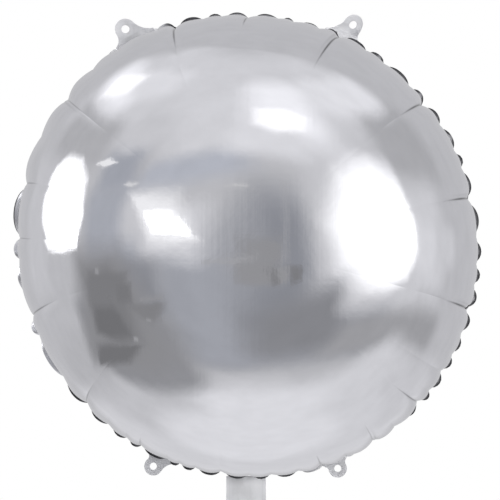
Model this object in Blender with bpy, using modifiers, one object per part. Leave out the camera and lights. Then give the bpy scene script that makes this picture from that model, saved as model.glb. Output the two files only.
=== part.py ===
"""A round foil balloon: two puckered film panels welded at the rim, four hanging ears and a filling tail.

Metres, +Z up. The origin is the middle of the envelope. The front panel faces -Y, the ears' side is up.
Angles run anticlockwise from +X as seen from the front.
"""

import math
import random

import bmesh
import bpy
from mathutils import Vector

# Driving sizes
CUT_DIAMETER = 0.590
WELD_WIDTH = 0.005
WALL = 0.0011
WELD_THICKNESS = 0.0012
GAP = 0.0003

# Two flat discs welded at their edge and blown up draw in to this share of their flat width
INFLATED_SHARE = 0.7627
SEAM_RADIUS = INFLATED_SHARE * (CUT_DIAMETER / 2 - WELD_WIDTH)

# The rim isn't quite round: it stands out by this share along one direction, and draws in across it
OVAL_SHARE = 0.0147
OVAL_DEGREES = 130.3
OVAL_REACH = 0.120

# The notches between the puckers: angle in degrees, share of NOTCH_DEPTH, and how far the crease fades
NOTCHES = (
    (1.7, 0.50, 0.011), (11.5, 0.80, 0.038), (19.4, 0.45, 0.011), (24.1, 0.40, 0.010),
    (31.4, 0.45, 0.012), (38.2, 1.00, 0.036), (43.8, 0.45, 0.010), (52.5, 0.50, 0.012),
    (58.0, 0.40, 0.010), (65.6, 0.70, 0.038), (71.0, 0.45, 0.011), (77.6, 0.45, 0.012),
    (81.5, 0.25, 0.009), (89.1, 0.75, 0.018), (95.8, 0.40, 0.010), (100.5, 0.45, 0.011),
    (107.9, 0.95, 0.034), (112.5, 0.40, 0.010), (123.9, 0.50, 0.010), (131.2, 0.30, 0.012),
    (141.0, 0.90, 0.036), (152.5, 0.25, 0.014), (165.0, 0.90, 0.026), (178.3, 0.75, 0.024),
    (184.1, 0.75, 0.014), (198.9, 0.60, 0.036), (204.0, 0.65, 0.013), (216.4, 0.60, 0.012),
    (225.5, 0.80, 0.024), (233.1, 0.40, 0.010), (238.6, 0.35, 0.010), (242.5, 0.70, 0.020),
    (249.8, 0.35, 0.010), (253.1, 0.40, 0.010), (257.2, 0.45, 0.011), (263.8, 1.00, 0.013),
    (270.7, 0.35, 0.010), (276.2, 0.45, 0.010), (282.9, 0.35, 0.011), (288.7, 0.50, 0.024),
    (295.2, 0.50, 0.010), (302.5, 0.35, 0.030), (309.1, 0.30, 0.012), (317.6, 0.50, 0.036),
    (321.5, 0.45, 0.010), (327.0, 1.00, 0.013), (331.8, 0.55, 0.010), (337.3, 0.60, 0.011),
    (343.5, 1.00, 0.037), (349.7, 0.45, 0.010), (354.9, 0.55, 0.011),
)
NOTCH_DEPTH = 0.0055
LOBE_HEIGHT = 0.0024
LOBE_REACH = 0.009
WAVE_HEIGHT = 0.0019
WAVE_REACH = 0.015
SEED = 7

# Hanging ears: angle in degrees, hole's distance from the middle, radii of the head and the hole,
# and radii of the hollow flanks on the clockwise and the anticlockwise side
EARS = {
    "ear_upper_left": (119.5, 0.2380, 0.0102, 0.0039, 0.019, 0.009),
    "ear_upper_right": (64.3, 0.2348, 0.0102, 0.0039, 0.006, 0.017),
    "ear_lower_left": (247.1, 0.2332, 0.0088, 0.0034, 0.004, 0.007),
    "ear_lower_right": (292.1, 0.2337, 0.0088, 0.0034, 0.004, 0.004),
}
EAR_THICKNESS = 0.0008
EAR_CORNER = 0.0010
EAR_CALM_DEGREES = 7.0

# The filling tail
TAIL_ANGLE = 269.7
TAIL_WIDTH = 0.038
TAIL_LENGTH = 0.075
TAIL_FILM = 0.0006
TAIL_MOUTH_BOW = 0.0008
TAIL_CALM_DEGREES = 7.5
VALVE_WIDTH = 0.024
VALVE_FILM = 0.0004
VALVE_SHORT_OF_MOUTH = 0.006

FOIL = ("panel_foil", (0.80, 0.80, 0.82, 1), 1.0, 0.18)
WELD = ("weld_foil", (0.72, 0.72, 0.74, 1), 0.9, 0.38)
VALVE = ("valve_plastic", (0.86, 0.87, 0.88, 1), 0.0, 0.35)


def clear_scene():
    """Removes what the file holds when it opens."""
    for old in list(bpy.data.objects):
        bpy.data.objects.remove(old)


def collection_named(name):
    """A new collection in the scene."""
    made = bpy.data.collections.new(name)
    bpy.context.scene.collection.children.link(made)
    return made


def material_of(finish):
    """A plain material from a name, colour, metallic value and roughness."""
    name, colour, metallic, roughness = finish
    made = bpy.data.materials.get(name) or bpy.data.materials.new(name)
    made.use_nodes = True
    shader = made.node_tree.nodes["Principled BSDF"]
    shader.inputs["Base Color"].default_value = colour
    shader.inputs["Metallic"].default_value = metallic
    shader.inputs["Roughness"].default_value = roughness
    made.diffuse_color = colour
    return made


def object_of(name, data, finish, collection):
    """A named object with its material, in the part's collection."""
    made = bpy.data.objects.new(name, data)
    data.materials.append(material_of(finish))
    collection.objects.link(made)
    return made


def smooth(share):
    """Eases from 0 to 1."""
    share = max(0.0, min(1.0, share))
    return share * share * (3 - 2 * share)


def degrees_apart(first, second):
    """The angle between two directions, from 0 to 180."""
    return abs((first - second + 180) % 360 - 180)


def calm(angle):
    """1 on the free rim, and 0 where an ear or the tail holds it flat."""
    places = [(ear[0], EAR_CALM_DEGREES) for ear in EARS.values()]
    places.append((TAIL_ANGLE, TAIL_CALM_DEGREES))
    return min(smooth((degrees_apart(angle, at) / reach - 0.7) / 0.6) for at, reach in places)


def oval(angle):
    """The rim's radius at an angle, as a share of the round one."""
    return 1 + OVAL_SHARE * math.cos(2 * math.radians(angle - OVAL_DEGREES))


def make_puckers():
    """The puckers round the rim, each with its start, width, crease, depth and wave."""
    chance = random.Random(SEED)
    puckers = []
    for place, (angle, depth, reach) in enumerate(NOTCHES):
        after = NOTCHES[(place + 1) % len(NOTCHES)][0]
        side = 1 if place % 2 else -1
        free = calm(angle)
        puckers.append({
            "start": angle,
            "width": (after - angle) % 360,
            "reach": reach,
            "depth": NOTCH_DEPTH * depth * (0.35 + 0.65 * free),
            "wave": WAVE_HEIGHT * side * chance.uniform(0.6, 1.0) * free,
        })
    return puckers


PUCKERS = make_puckers()


class Rim:
    """One direction on the rim: a share of the way through one pucker."""

    def __init__(self, pucker, share):
        here = PUCKERS[pucker % len(PUCKERS)]
        after = PUCKERS[(pucker + 1) % len(PUCKERS)]
        end = here if share < 0.5 else after
        self.angle = here["start"] + here["width"] * share
        self.lobe = math.sin(math.pi * share) * (0.25 + 0.75 * calm(self.angle))
        self.notch = 1 - math.sin(math.pi * share)
        self.depth = end["depth"] * self.notch
        self.reach = end["reach"]
        rise = after["wave"] - here["wave"]
        self.wave = (here["wave"] + rise * smooth(share)) * calm(self.angle)
        turn = math.radians(self.angle)
        self.out = Vector((math.cos(turn), 0, math.sin(turn)))

    def seam(self):
        """The weld line's distance from the middle."""
        return SEAM_RADIUS * oval(self.angle) - self.depth


def rims(spacing):
    """The directions round the rim, no further apart than that many degrees, with one at every notch."""
    found = []
    for place, pucker in enumerate(PUCKERS):
        steps = max(2, math.ceil(pucker["width"] / spacing))
        found += [Rim(place, step / steps) for step in range(steps)]
    return found


def rim_at(angle):
    """The direction at any angle."""
    for pucker, here in enumerate(PUCKERS):
        turned = (angle - here["start"]) % 360
        if turned < here["width"]:
            return Rim(pucker, turned / here["width"])
    return Rim(0, 0)


def even_rims(count):
    """That many directions, evenly round the rim from the first notch."""
    return [rim_at(PUCKERS[0]["start"] + 360 * place / count) for place in range(count)]


def meridian():
    """The inflated film from the rim to the middle, as (distance along the film, radius, depth, slope).

    The slope is the film's angle to the disc's plane, and its sine is the square of radius over seam radius.
    """
    points = [(0.0, SEAM_RADIUS, 0.0, math.pi / 2)]
    steps = 1600
    turn = math.pi / 2 / steps
    along, depth = 0.0, 0.0
    for step in range(steps - 1):
        middle = math.pi / 2 - (step + 0.5) * turn
        run = SEAM_RADIUS * turn / (2 * math.sqrt(math.sin(middle)))
        along += run
        depth += run * math.sin(middle)
        slope = middle - turn / 2
        points.append((along, SEAM_RADIUS * math.sqrt(math.sin(slope)), depth, slope))
    return points


MERIDIAN = meridian()


def film_at(along):
    """Radius, depth and slope of the smooth film at a distance from the seam."""
    for before, after in zip(MERIDIAN, MERIDIAN[1:]):
        if after[0] >= along:
            share = (along - before[0]) / (after[0] - before[0])
            return [a + (b - a) * share for a, b in zip(before[1:], after[1:])]
    return MERIDIAN[-1][1:]


def panel_point(rim, along, side, inside=0.0):
    """A point of the panel: side is -1 at the front and 1 at the back, inside is how far under the skin."""
    radius, depth, slope = film_at(along)
    radius *= 1 + (oval(rim.angle) - 1) * math.exp(-(along / OVAL_REACH) ** 2)
    skin = LOBE_HEIGHT * rim.lobe * (along / LOBE_REACH) * math.exp(1 - along / LOBE_REACH)
    skin -= rim.depth * math.exp(-along / rim.reach)
    skin = -inside if inside else skin
    radius += skin * math.sin(slope)
    depth += skin * math.cos(slope)
    wave = 0.0 if inside else rim.wave * math.exp(-along / WAVE_REACH)
    level = side * (WELD_THICKNESS / 2 + GAP + depth) + wave
    return rim.out * radius + Vector((0, level, 0))


def add_ring(mesh, directions, place):
    """A ring of vertices, one for each direction, kept with their angles."""
    return [(rim.angle, mesh.verts.new(place(rim))) for rim in directions]


def loft_pair(mesh, first, second):
    """Joins two rings: with quads where they match, and otherwise with triangles from the ring that lags."""
    if len(first) == len(second):
        for here, (start, end) in enumerate(zip(first, first[1:] + first[:1])):
            across = second[(here + 1) % len(second)]
            mesh.faces.new((start[1], end[1], across[1], second[here][1]))
        return
    one = first + [(first[0][0] + 360, first[0][1])]
    two = second + [(second[0][0] + 360, second[0][1])]
    i, j = 0, 0
    while i < len(first) or j < len(second):
        done = i == len(first)
        if done or (j < len(second) and one[i][0] + one[i + 1][0] > two[j][0] + two[j + 1][0]):
            mesh.faces.new((one[i][1], two[j + 1][1], two[j][1]))
            j += 1
        else:
            mesh.faces.new((one[i][1], one[i + 1][1], two[j][1]))
            i += 1


def loft(mesh, rings):
    """Joins each ring to the next."""
    for first, second in zip(rings, rings[1:]):
        loft_pair(mesh, first, second)


def cap(mesh, ring):
    """Closes the middle of a panel with one flat face."""
    mesh.faces.new([vertex for _, vertex in ring])


def finished_mesh(name, mesh):
    """The mesh with its faces pointing out, as a data block."""
    bmesh.ops.recalc_face_normals(mesh, faces=mesh.faces)
    data = bpy.data.meshes.new(name)
    mesh.to_mesh(data)
    mesh.free()
    data.shade_smooth()
    data.set_sharp_from_angle(angle=math.radians(40))
    return data


FILM_LENGTH = MERIDIAN[-1][0]
# Where the panel's rings lie along the film, how far apart in degrees the points of the outer ones are,
# and how many points the inner ones have
FINE_RINGS = (0.0, 0.005, 0.013, 0.028)
FINE_SPACING = 1.2
MIDDLE_RING = 0.052
MIDDLE_SPACING = 3.6
COARSE_RINGS = ((0.075, 60), (0.100, 60), (0.130, 60), (0.165, 30), (0.205, 30), (0.250, 15))
INNER_RINGS = (0.004, 0.030, MIDDLE_RING)
INNER_MARGIN = 0.0052
INNER_MARGIN_REACH = 0.026


def under(along):
    """How far the lining lies under the smooth film, most where the creases bite."""
    return WALL + INNER_MARGIN * math.exp(-along / INNER_MARGIN_REACH)


def build_panel(name, side, collection):
    """One film panel: a dished shell, open at the rim, with the puckers worked into its skin."""
    mesh = bmesh.new()
    fine = rims(FINE_SPACING)
    middle = rims(MIDDLE_SPACING)
    inner = even_rims(60)

    def ring(directions, along, inside=0.0):
        """One ring of the panel at a distance from the seam."""
        return add_ring(mesh, directions, lambda rim: panel_point(rim, along, side, inside))

    skin = [ring(fine, along) for along in FINE_RINGS] + [ring(middle, MIDDLE_RING)]
    skin += [ring(even_rims(count), along) for along, count in COARSE_RINGS]
    lining = [ring(inner, along, under(along)) for along in INNER_RINGS]
    lining += [ring(even_rims(count), along, under(along)) for along, count in COARSE_RINGS]

    loft(mesh, skin)
    loft(mesh, lining)
    loft(mesh, [skin[0], lining[0]])
    cap(mesh, skin[-1])
    cap(mesh, lining[-1])
    return object_of(name, finished_mesh(name, mesh), FOIL, collection)


def weld_edge(rim):
    """The outer edge of the welded rim, as a distance from the middle."""
    return rim.seam() + WELD_WIDTH


def weld_point(rim, reach, face):
    """A point of the weld, a distance out from the seam, on its front (-1) or back (1) face."""
    return rim.out * (rim.seam() + reach) + Vector((0, rim.wave + face * WELD_THICKNESS / 2, 0))


def build_weld(name, collection):
    """The welded rim: a thin ring that follows the puckers in and out, and to the front and back."""
    mesh = bmesh.new()
    inner = -WELD_WIDTH * 0.6
    section = ((inner, -1), (WELD_WIDTH, -1), (WELD_WIDTH, 1), (inner, 1))
    rings = []
    for reach, face in section:
        rings.append(add_ring(mesh, rims(FINE_SPACING), lambda rim: weld_point(rim, reach, face)))
    loft(mesh, rings + rings[:1])
    return object_of(name, finished_mesh(name, mesh), WELD, collection)


def arc(centre, radius, start, end, steps):
    """Points on an arc, angles in radians."""
    turns = [start + (end - start) * step / steps for step in range(steps + 1)]
    return [(centre[0] + radius * math.cos(turn), centre[1] + radius * math.sin(turn)) for turn in turns]


def ear_flank(edge, hole_at, head, flank):
    """The hollow flank on an ear's clockwise side, and the turn on the head at which it ends.

    It is an arc that touches the weld's edge and the head from outside, cut short to a blunt corner.
    """
    far = edge + flank
    spread = math.acos((far ** 2 + hole_at ** 2 - (head + flank) ** 2) / (2 * far * hole_at))
    centre = (far * math.sin(spread), far * math.cos(spread))
    rise = math.atan2(centre[1] - hole_at, centre[0])
    trim = math.acos(1 - EAR_CORNER / flank)
    return arc(centre, flank, -math.pi / 2 - spread - trim, rise - math.pi, 7), rise


def ear_outline(place):
    """The ear's outline in the disc's plane: a round head, two hollow flanks, and a base along the weld."""
    angle, hole_at, head, _, clockwise, anticlockwise = place
    turn = math.radians(angle)
    out = Vector((math.cos(turn), math.sin(turn)))
    along = Vector((out.y, -out.x))
    edge = SEAM_RADIUS * oval(angle) + WELD_WIDTH
    right, right_rise = ear_flank(edge, hole_at, head, clockwise)
    left, left_rise = ear_flank(edge, hole_at, head, anticlockwise)
    left = [(-x, y) for x, y in reversed(left)]
    crown = arc((0, hole_at), head, right_rise, math.pi - left_rise, 16)

    first = math.degrees(math.atan2(left[-1][0], left[-1][1]))
    last = math.degrees(math.atan2(right[0][0], right[0][1]))
    steps = 14
    base = []
    for step in range(steps + 1):
        rim = rim_at(angle - first - (last - first) * step / steps)
        distance = weld_edge(rim) + GAP
        base.append((rim.out.x * distance, rim.out.z * distance))
    return base + [tuple(along * x + out * y) for x, y in right + crown[1:-1] + left]


def add_loop(curve, points):
    """A closed straight-sided spline."""
    spline = curve.splines.new("POLY")
    spline.points.add(len(points) - 1)
    for place, (x, y) in zip(spline.points, points):
        place.co = (x, y, 0, 1)
    spline.use_cyclic_u = True


def build_ear(name, place, collection):
    """A flat hanging ear with its eyelet, seated on the weld's edge."""
    angle, hole_at, _, hole, _, _ = place
    turn = math.radians(angle)
    centre = (hole_at * math.cos(turn), hole_at * math.sin(turn))
    outline = [(x - centre[0], y - centre[1]) for x, y in ear_outline(place)]
    curve = bpy.data.curves.new(name, "CURVE")
    curve.dimensions = "2D"
    curve.fill_mode = "BOTH"
    curve.extrude = EAR_THICKNESS / 2
    add_loop(curve, outline)
    add_loop(curve, arc((0, 0), hole, 0, 2 * math.pi, 24)[:-1])
    ear = object_of(name, curve, WELD, collection)
    ear.location = (centre[0], 0, centre[1])
    ear.rotation_euler = (math.pi / 2, 0, 0)
    return ear


def build_strip(name, finish, width, top, bottom, level, thickness, bow, collection):
    """A hanging strip of film whose lower end bows out by that much, level being its middle plane."""
    columns, rows = 8, 8
    mesh = bmesh.new()
    bmesh.ops.create_grid(mesh, x_segments=columns, y_segments=rows, size=0.5)
    middle = SEAM_RADIUS * math.cos(math.radians(TAIL_ANGLE))
    for vertex in mesh.verts:
        across, down = vertex.co.x, 0.5 - vertex.co.y
        swell = math.cos(math.pi * across) * smooth((down - 0.55) / 0.45)
        vertex.co = Vector((across * width, level + bow * swell, top + (bottom - top) * down))
    data = finished_mesh(name, mesh)
    strip = object_of(name, data, finish, collection)
    strip.location = (middle, 0, 0)
    shell = strip.modifiers.new("Thickness", "SOLIDIFY")
    shell.thickness = thickness
    shell.offset = 0
    return strip


def build_tail(collection):
    """The filling tail: two films that grip the welded rim, with the valve's film between them."""
    seam = SEAM_RADIUS * oval(TAIL_ANGLE)
    edge = seam + WELD_WIDTH
    bottom = -(edge + TAIL_LENGTH)
    level = WELD_THICKNESS / 2 + GAP + TAIL_FILM / 2
    top = -(seam + 0.0012)
    build_strip("tail_front", WELD, TAIL_WIDTH, top, bottom, -level, TAIL_FILM, -TAIL_MOUTH_BOW, collection)
    build_strip("tail_back", WELD, TAIL_WIDTH, top, bottom, level, TAIL_FILM, TAIL_MOUTH_BOW, collection)
    build_strip(
        "valve_film", VALVE, VALVE_WIDTH, -(edge + 0.001), bottom + VALVE_SHORT_OF_MOUTH,
        0, VALVE_FILM, 0, collection,
    )


def main():
    """Builds the balloon."""
    clear_scene()
    balloon = collection_named("round_foil_balloon")
    build_panel("front_panel", -1, balloon)
    build_panel("back_panel", 1, balloon)
    build_weld("rim_weld", balloon)
    for name, place in EARS.items():
        build_ear(name, place, balloon)
    build_tail(balloon)


main()
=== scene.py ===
"""Dresses the round foil balloon: two puckered film panels, the welded rim, four hanging ears, the filling
tail with its valve, and a pale photo studio around it.

Metres, +Z up, the front panel faces -Y. Angles on the rim run anticlockwise from +X, seen from the front.
"""

import math
import random

import bmesh
import bpy
import numpy as np
from bpy.props import FloatProperty, FloatVectorProperty, PointerProperty
from bpy.types import Operator, Panel, PropertyGroup
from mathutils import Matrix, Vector
from mathutils.geometry import delaunay_2d_cdt


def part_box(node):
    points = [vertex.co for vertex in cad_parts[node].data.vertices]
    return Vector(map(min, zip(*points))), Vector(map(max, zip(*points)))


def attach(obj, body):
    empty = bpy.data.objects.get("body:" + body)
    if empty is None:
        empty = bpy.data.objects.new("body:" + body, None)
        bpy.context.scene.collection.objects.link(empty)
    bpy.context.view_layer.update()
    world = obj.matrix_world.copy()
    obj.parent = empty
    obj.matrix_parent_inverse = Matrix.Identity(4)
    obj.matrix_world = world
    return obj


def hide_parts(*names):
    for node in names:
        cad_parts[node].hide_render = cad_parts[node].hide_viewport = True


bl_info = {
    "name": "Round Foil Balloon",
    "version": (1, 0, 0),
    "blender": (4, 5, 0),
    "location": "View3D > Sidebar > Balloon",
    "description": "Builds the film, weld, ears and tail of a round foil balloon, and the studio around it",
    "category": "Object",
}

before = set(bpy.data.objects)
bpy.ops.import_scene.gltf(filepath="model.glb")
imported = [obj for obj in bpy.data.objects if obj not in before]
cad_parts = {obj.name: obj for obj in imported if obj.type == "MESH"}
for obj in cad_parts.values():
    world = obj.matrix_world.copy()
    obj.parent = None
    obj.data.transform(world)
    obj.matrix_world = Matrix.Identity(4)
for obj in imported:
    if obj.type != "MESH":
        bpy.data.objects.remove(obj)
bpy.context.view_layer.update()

# The tail's middle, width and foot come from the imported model
TAIL_LOW, TAIL_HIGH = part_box("tail_front")
WELD_WIDTH = 0.005
SEAM_RADIUS = 0.22118
FRONT, BACK = -1, 1

# A colour mix node's sockets by place: the factor and the two colours, and the mixed colour
MIX_INPUTS, MIX_OUTPUT = (0, 6, 7), 2

# Thicknesses of the thin films
EAR_FILM, TAIL_FILM, VALVE_FILM = 0.00040, 0.00018, 0.00012
# Cut edges of film sharper than this are shaded crisp
CUT_EDGE = math.radians(50)

# The rim isn't quite round: it stands out by this share along one direction and draws in across it, and the
# oval fades over this distance along the film
OVAL_SHARE = 0.0147
OVAL_DEGREES = 130.3
OVAL_REACH = 0.120

# The notches between the puckers: angle in degrees, share of the notch depth, and how far the crease fades
NOTCHES = (
    (1.7, 0.50, 0.011), (11.5, 0.80, 0.038), (19.4, 0.45, 0.011), (24.1, 0.40, 0.010),
    (31.4, 0.45, 0.012), (38.2, 1.00, 0.036), (43.8, 0.45, 0.010), (52.5, 0.50, 0.012),
    (58.0, 0.40, 0.010), (65.6, 0.70, 0.038), (71.0, 0.45, 0.011), (77.6, 0.45, 0.012),
    (81.5, 0.25, 0.009), (89.1, 0.75, 0.018), (95.8, 0.40, 0.010), (100.5, 0.45, 0.011),
    (107.9, 0.95, 0.034), (112.5, 0.40, 0.010), (123.9, 0.50, 0.010), (131.2, 0.30, 0.012),
    (141.0, 0.90, 0.036), (152.5, 0.25, 0.014), (165.0, 0.90, 0.026), (178.3, 0.75, 0.024),
    (184.1, 0.75, 0.014), (198.9, 0.60, 0.036), (204.0, 0.65, 0.013), (216.4, 0.60, 0.012),
    (225.5, 0.80, 0.024), (233.1, 0.40, 0.010), (238.6, 0.35, 0.010), (242.5, 0.70, 0.020),
    (249.8, 0.35, 0.010), (253.1, 0.40, 0.010), (257.2, 0.45, 0.011), (263.8, 1.00, 0.021),
    (270.7, 0.35, 0.010), (276.2, 0.45, 0.010), (282.9, 0.35, 0.011), (288.7, 0.50, 0.024),
    (295.2, 0.90, 0.012), (302.5, 0.15, 0.030), (309.1, 0.10, 0.012), (317.6, 0.50, 0.036),
    (321.5, 0.45, 0.010), (327.0, 1.00, 0.021), (331.8, 0.55, 0.010), (337.3, 0.60, 0.011),
    (343.5, 1.00, 0.037), (349.7, 0.45, 0.010), (354.9, 0.55, 0.011),
)
# The height of the seam's fore and aft wave, and the seed of all random draws
WAVE_HEIGHT = 0.0019
SEED = 7

# Distances along the film from the seam: where the seam's wave, the valley's painted shade and the crumpled
# film fade, where the film swells most between long creases and how broadly, and where its unevenness is
# whole
WAVE_REACH, VALLEY_REACH, CRUMPLED_REACH = 0.015, 0.0016, 0.022
SWELL_AT, SWELL_REACH = 0.045, 0.035
UNEVEN_FROM = 0.06
# The panels' rows: the first step from the seam, how much each grows, and the widest
ROW_STEPS = (0.0006, 1.115, 0.0095)
# Waves of the film's unevenness
UNEVEN_WAVES = (0.21, 0.16, 0.12, 0.09, 0.07)

# Creases of the front film that run on inwards: the notch's angle, length along the film, lean in degrees
# towards larger angles by its end, strength, and whether a second line runs beside it
FRONT_CREASES = (
    (11.5, 0.093, 0.9, 1.0, True), (38.2, 0.096, 2.0, 0.9, False), (65.6, 0.110, 3.9, 0.9, True),
    (89.1, 0.062, 2.2, 0.8, False), (107.9, 0.086, 2.3, 0.8, False), (141.0, 0.092, 0.3, 0.3, True),
    (165.0, 0.067, -1.2, 0.5, False), (178.3, 0.072, 0.3, 0.3, False), (184.1, 0.030, -0.6, 0.4, False),
    (198.9, 0.095, -2.6, 0.6, False), (204.0, 0.030, -0.8, 0.4, False), (225.5, 0.080, -3.4, 0.5, False),
    (242.5, 0.055, -1.5, 0.4, False), (288.7, 0.062, -0.5, 0.4, False), (302.5, 0.076, 0.7, 0.2, True),
    (317.6, 0.091, -1.4, 0.6, False), (343.5, 0.090, 0.9, 1.0, True),
)

# Stretches of the rim, in degrees, where the weld lies folded back behind the front film
FOLDED_BACK = ((126, 162), (190, 199), (297, 313))
# The stretch where the film hardly overhangs the weld, so that the weld shows bright and whole, without
# painted shade
OPEN_RIM = (165, 217)
# Stretches where an ear's root holds the weld flat
PLAIN_RIM = ((111, 126), (285, 298))
# The stretch where the weld leans well back and shows as a thin line, with half its painted shade
THIN_RIM = (73, 100)
# The stretch where the weld is trimmed narrow
NARROW_RIM = (179, 217)
# Stretches where the puckers swell less and show more of the weld, and by how much less
PROUD_RIM = ((318, 422, 0.55), (358, 372, 0.4), (217, 284, 0.4), (75, 113, 0.75), (113, 160, 0.25))
# Stretches where the weld stands out less, and by how much less
SHORT_RIM = ((14, 60, 0.2), (60, 112, 0.4), (217, 284, 0.25), (318, 340, 0.1))

# The weld's points, out from the seam, the last at its trimmed edge, and how wide the painted shade along
# that edge is
WELD_PLACES = (-0.0015, -0.0004, 0.0002, 0.0009, 0.0017, 0.0026, 0.0034, 0.0041, 1.0)
WELD_EDGE_SHADE = 0.0035

# The stretch where the seam is drawn in, by what share of its radius, and how softly in degrees
DRAWN_IN_RIM = (70, 111)
DRAWN_IN_SHARE = 0.0080
DRAWN_IN_SOFT = 18

# Hanging ears: angle, hole's distance from the middle, radii of head and hole, radii of the hollow flanks on
# the clockwise and the anticlockwise side, and twist of the head in degrees
EARS = {
    "ear_upper_left": (119.5, 0.2380, 0.0102, 0.0039, 0.021, 0.010, 8),
    "ear_upper_right": (64.3, 0.2348, 0.0102, 0.0039, 0.007, 0.018, -27),
    "ear_lower_left": (247.05, 0.2318, 0.0088, 0.0034, 0.004, 0.015, 8),
    "ear_lower_right": (292.0, 0.2322, 0.0088, 0.0034, 0.004, 0.004, -4),
}
# How far an ear's root holds the rim calm to each side
EAR_CALM_DEGREES = 7.0
# How far an ear's flanks start outside the seam, how far its root reaches in from there, how much of a
# flank's thin corner is cut off, and the spacing of its points
EAR_EDGE, EAR_ROOT, EAR_CORNER, EAR_STEP = 0.0028, 0.0060, 0.0003, 0.0011
# The tail's angle, and how far it holds the rim calm to each side
TAIL_ANGLE = 269.7
TAIL_CALM_DEGREES = 5.0
# How far the tail starts outside the seam, how wide its side welds are, and its length
TAIL_START, TAIL_WELD, TAIL_LENGTH = 0.0012, 0.0032, 0.078

# Soft lights: name, strength as a share of the key's, and each corner's azimuth, elevation and soft edge, in
# degrees
LIGHTS = (
    ("octabox", 1.0, (
        (23, 4, 12), (28, 13, 11), (42, 18, 12), (54, 15, 9), (60.5, 8.5, 4), (62, 0, 4), (56, -6.5, 6),
        (44, -8.5, 8), (33, -4, 13), (25, 0, 11))),
    ("strip_box", 1.0, (
        (-87, 24, 4), (-74, 24, 4), (-65, 17.5, 5), (-61.5, 8, 2.5), (-65, -1, 1.5), (-76.8, -2.2, 1.5),
        (-91, -0.8, 3), (-97.5, 5.3, 3), (-100, 13.3, 3.5), (-96, 20, 2.5))),
    ("window", 0.21, ((-29.5, 10.6, 5), (-16, 6.5, 7), (-7.5, 1.4, 2), (-21, 2.8, 4))),
    ("window_pane", 0.7, ((-25, 7.4, 0.8), (-15, 5.8, 1.5), (-8.7, 2, 1.5), (-20.5, 3.1, 0.9))),
    ("ceiling_lamp", 0.4, (
        (6, 38.5, 4), (13, 39, 4), (17, 37, 5), (15, 34.3, 5.5), (9, 33, 6), (6, 34.5, 5))),
    ("high_lamp", 0.3, (
        (-98, 50.5, 6), (-90, 53.5, 6), (-82, 54.5, 6), (-82, 53, 6), (-90, 51, 6), (-97, 49.5, 6))),
    ("left_spot", 0.2, ((-59.6, 24.6, 1), (-51.3, 25.8, 1), (-46, 24.2, 1), (-53.5, 23.7, 1))),
    ("middle_spot", 0.16, ((-38, 16.3, 0.8), (-35, 16.6, 0.8), (-30.5, 15.7, 0.8), (-34.1, 15.6, 0.8))),
    ("right_spot", 0.13, ((-3.2, 9.25, 0.6), (-1.3, 9.3, 0.6), (0.3, 8.8, 0.6), (-1.2, 8.6, 0.6))),
)
# The brightness that a light's soft edge fades from
EDGE_GLOW = 1.5

# Dark and pale shapes in the room behind the camera, each in front of those before it: name, the grey that
# the foil shows it as, soft edge in degrees, and each corner's azimuth and elevation
SHAPES = (
    ("dark_corner", 138, 13, (
        (-60, -8), (-40, -8), (-34, -14), (-31, -29), (-40, -35), (-60, -35), (-78, -35), (-68, -30),
        (-60, -23))),
    ("dark_middle", 124, 10, ((-55, -14), (-45, -11), (-40, -16), (-41, -24), (-48, -27), (-56, -22))),
    ("chest", 112, 5, ((-57, -21), (-47, -20.5), (-45, -22), (-44, -25.5), (-54, -27.5), (-61, -26.5))),
    ("kerb", 114, 4, (
        (-69.6, -34.6), (-60.8, -33.6), (-42, -31.2), (-47.5, -34), (-53.7, -36.8), (-62.9, -37.4),
        (-80, -38.6))),
    ("hatch", 128, 3, ((-34.2, -17.1), (-21.5, -14.2), (-24.8, -17.8), (-28.4, -19.6))),
    ("shelf_high", 122, 4.5, ((-55, -10.6), (-36, -9), (-37, -10.5), (-55, -12))),
    ("shelf_middle", 123, 5, ((-57, -14.5), (-48, -13.6), (-49, -16), (-58, -17))),
    ("shelf_low", 119, 3, ((-38.8, -12.8), (-34, -11.8), (-35, -14.4), (-39.5, -15))),
    ("rail", 146, 0.7, ((-28.5, -13.9), (-19.6, -11.4), (-19.9, -11.9), (-28.9, -14.4))),
    ("lamp_far", 156, 1, ((-39.7, -28), (-38.4, -27.8), (-39, -28.6), (-40.3, -28.8))),
    ("lamp_near", 152, 0.8, ((-28.8, -20), (-27.4, -19.7), (-27.8, -20.2), (-29.2, -20.5))),
    ("lamp_left", 150, 0.9, ((-51.3, -7.5), (-49.7, -7.5), (-49.9, -8.2), (-51.5, -8.3))),
    ("wall_band", 142, 1.6, ((0.2, -0.1), (2.9, 0), (3, -1), (0.3, -0.6))),
    ("low_band", 143, 1.8, ((-0.4, -1.9), (2, -2.1), (3, -4.4), (-0.3, -3.8))),
    ("dark_left", 120, 0.9, ((2.7, -2.8), (3, -2.8), (4, -4.8), (3.6, -4.9))),
    ("dark_right", 122, 1.4, ((6, -3.4), (7.6, -3.8), (8, -5), (6.9, -5.2))),
    ("sill", 160, 0.4, ((-5.7, -1.9), (0.2, -0.9), (0.2, -1.0), (-5.8, -2.1))),
    ("stand", 166, 0.22, ((6.2, 11.3), (6.3, 11.3), (3.9, -2.2), (3.8, -2.2))),
    ("second_stand", 158, 0.18, ((4.9, -0.2), (4.95, -0.2), (5.2, -2.1), (5.15, -2.1))),
    ("stand_foot", 147, 0.35, ((2.9, -2.5), (5.0, -3.0), (5.3, -4.6), (4.9, -5.4), (4.3, -5.1))),
)

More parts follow.
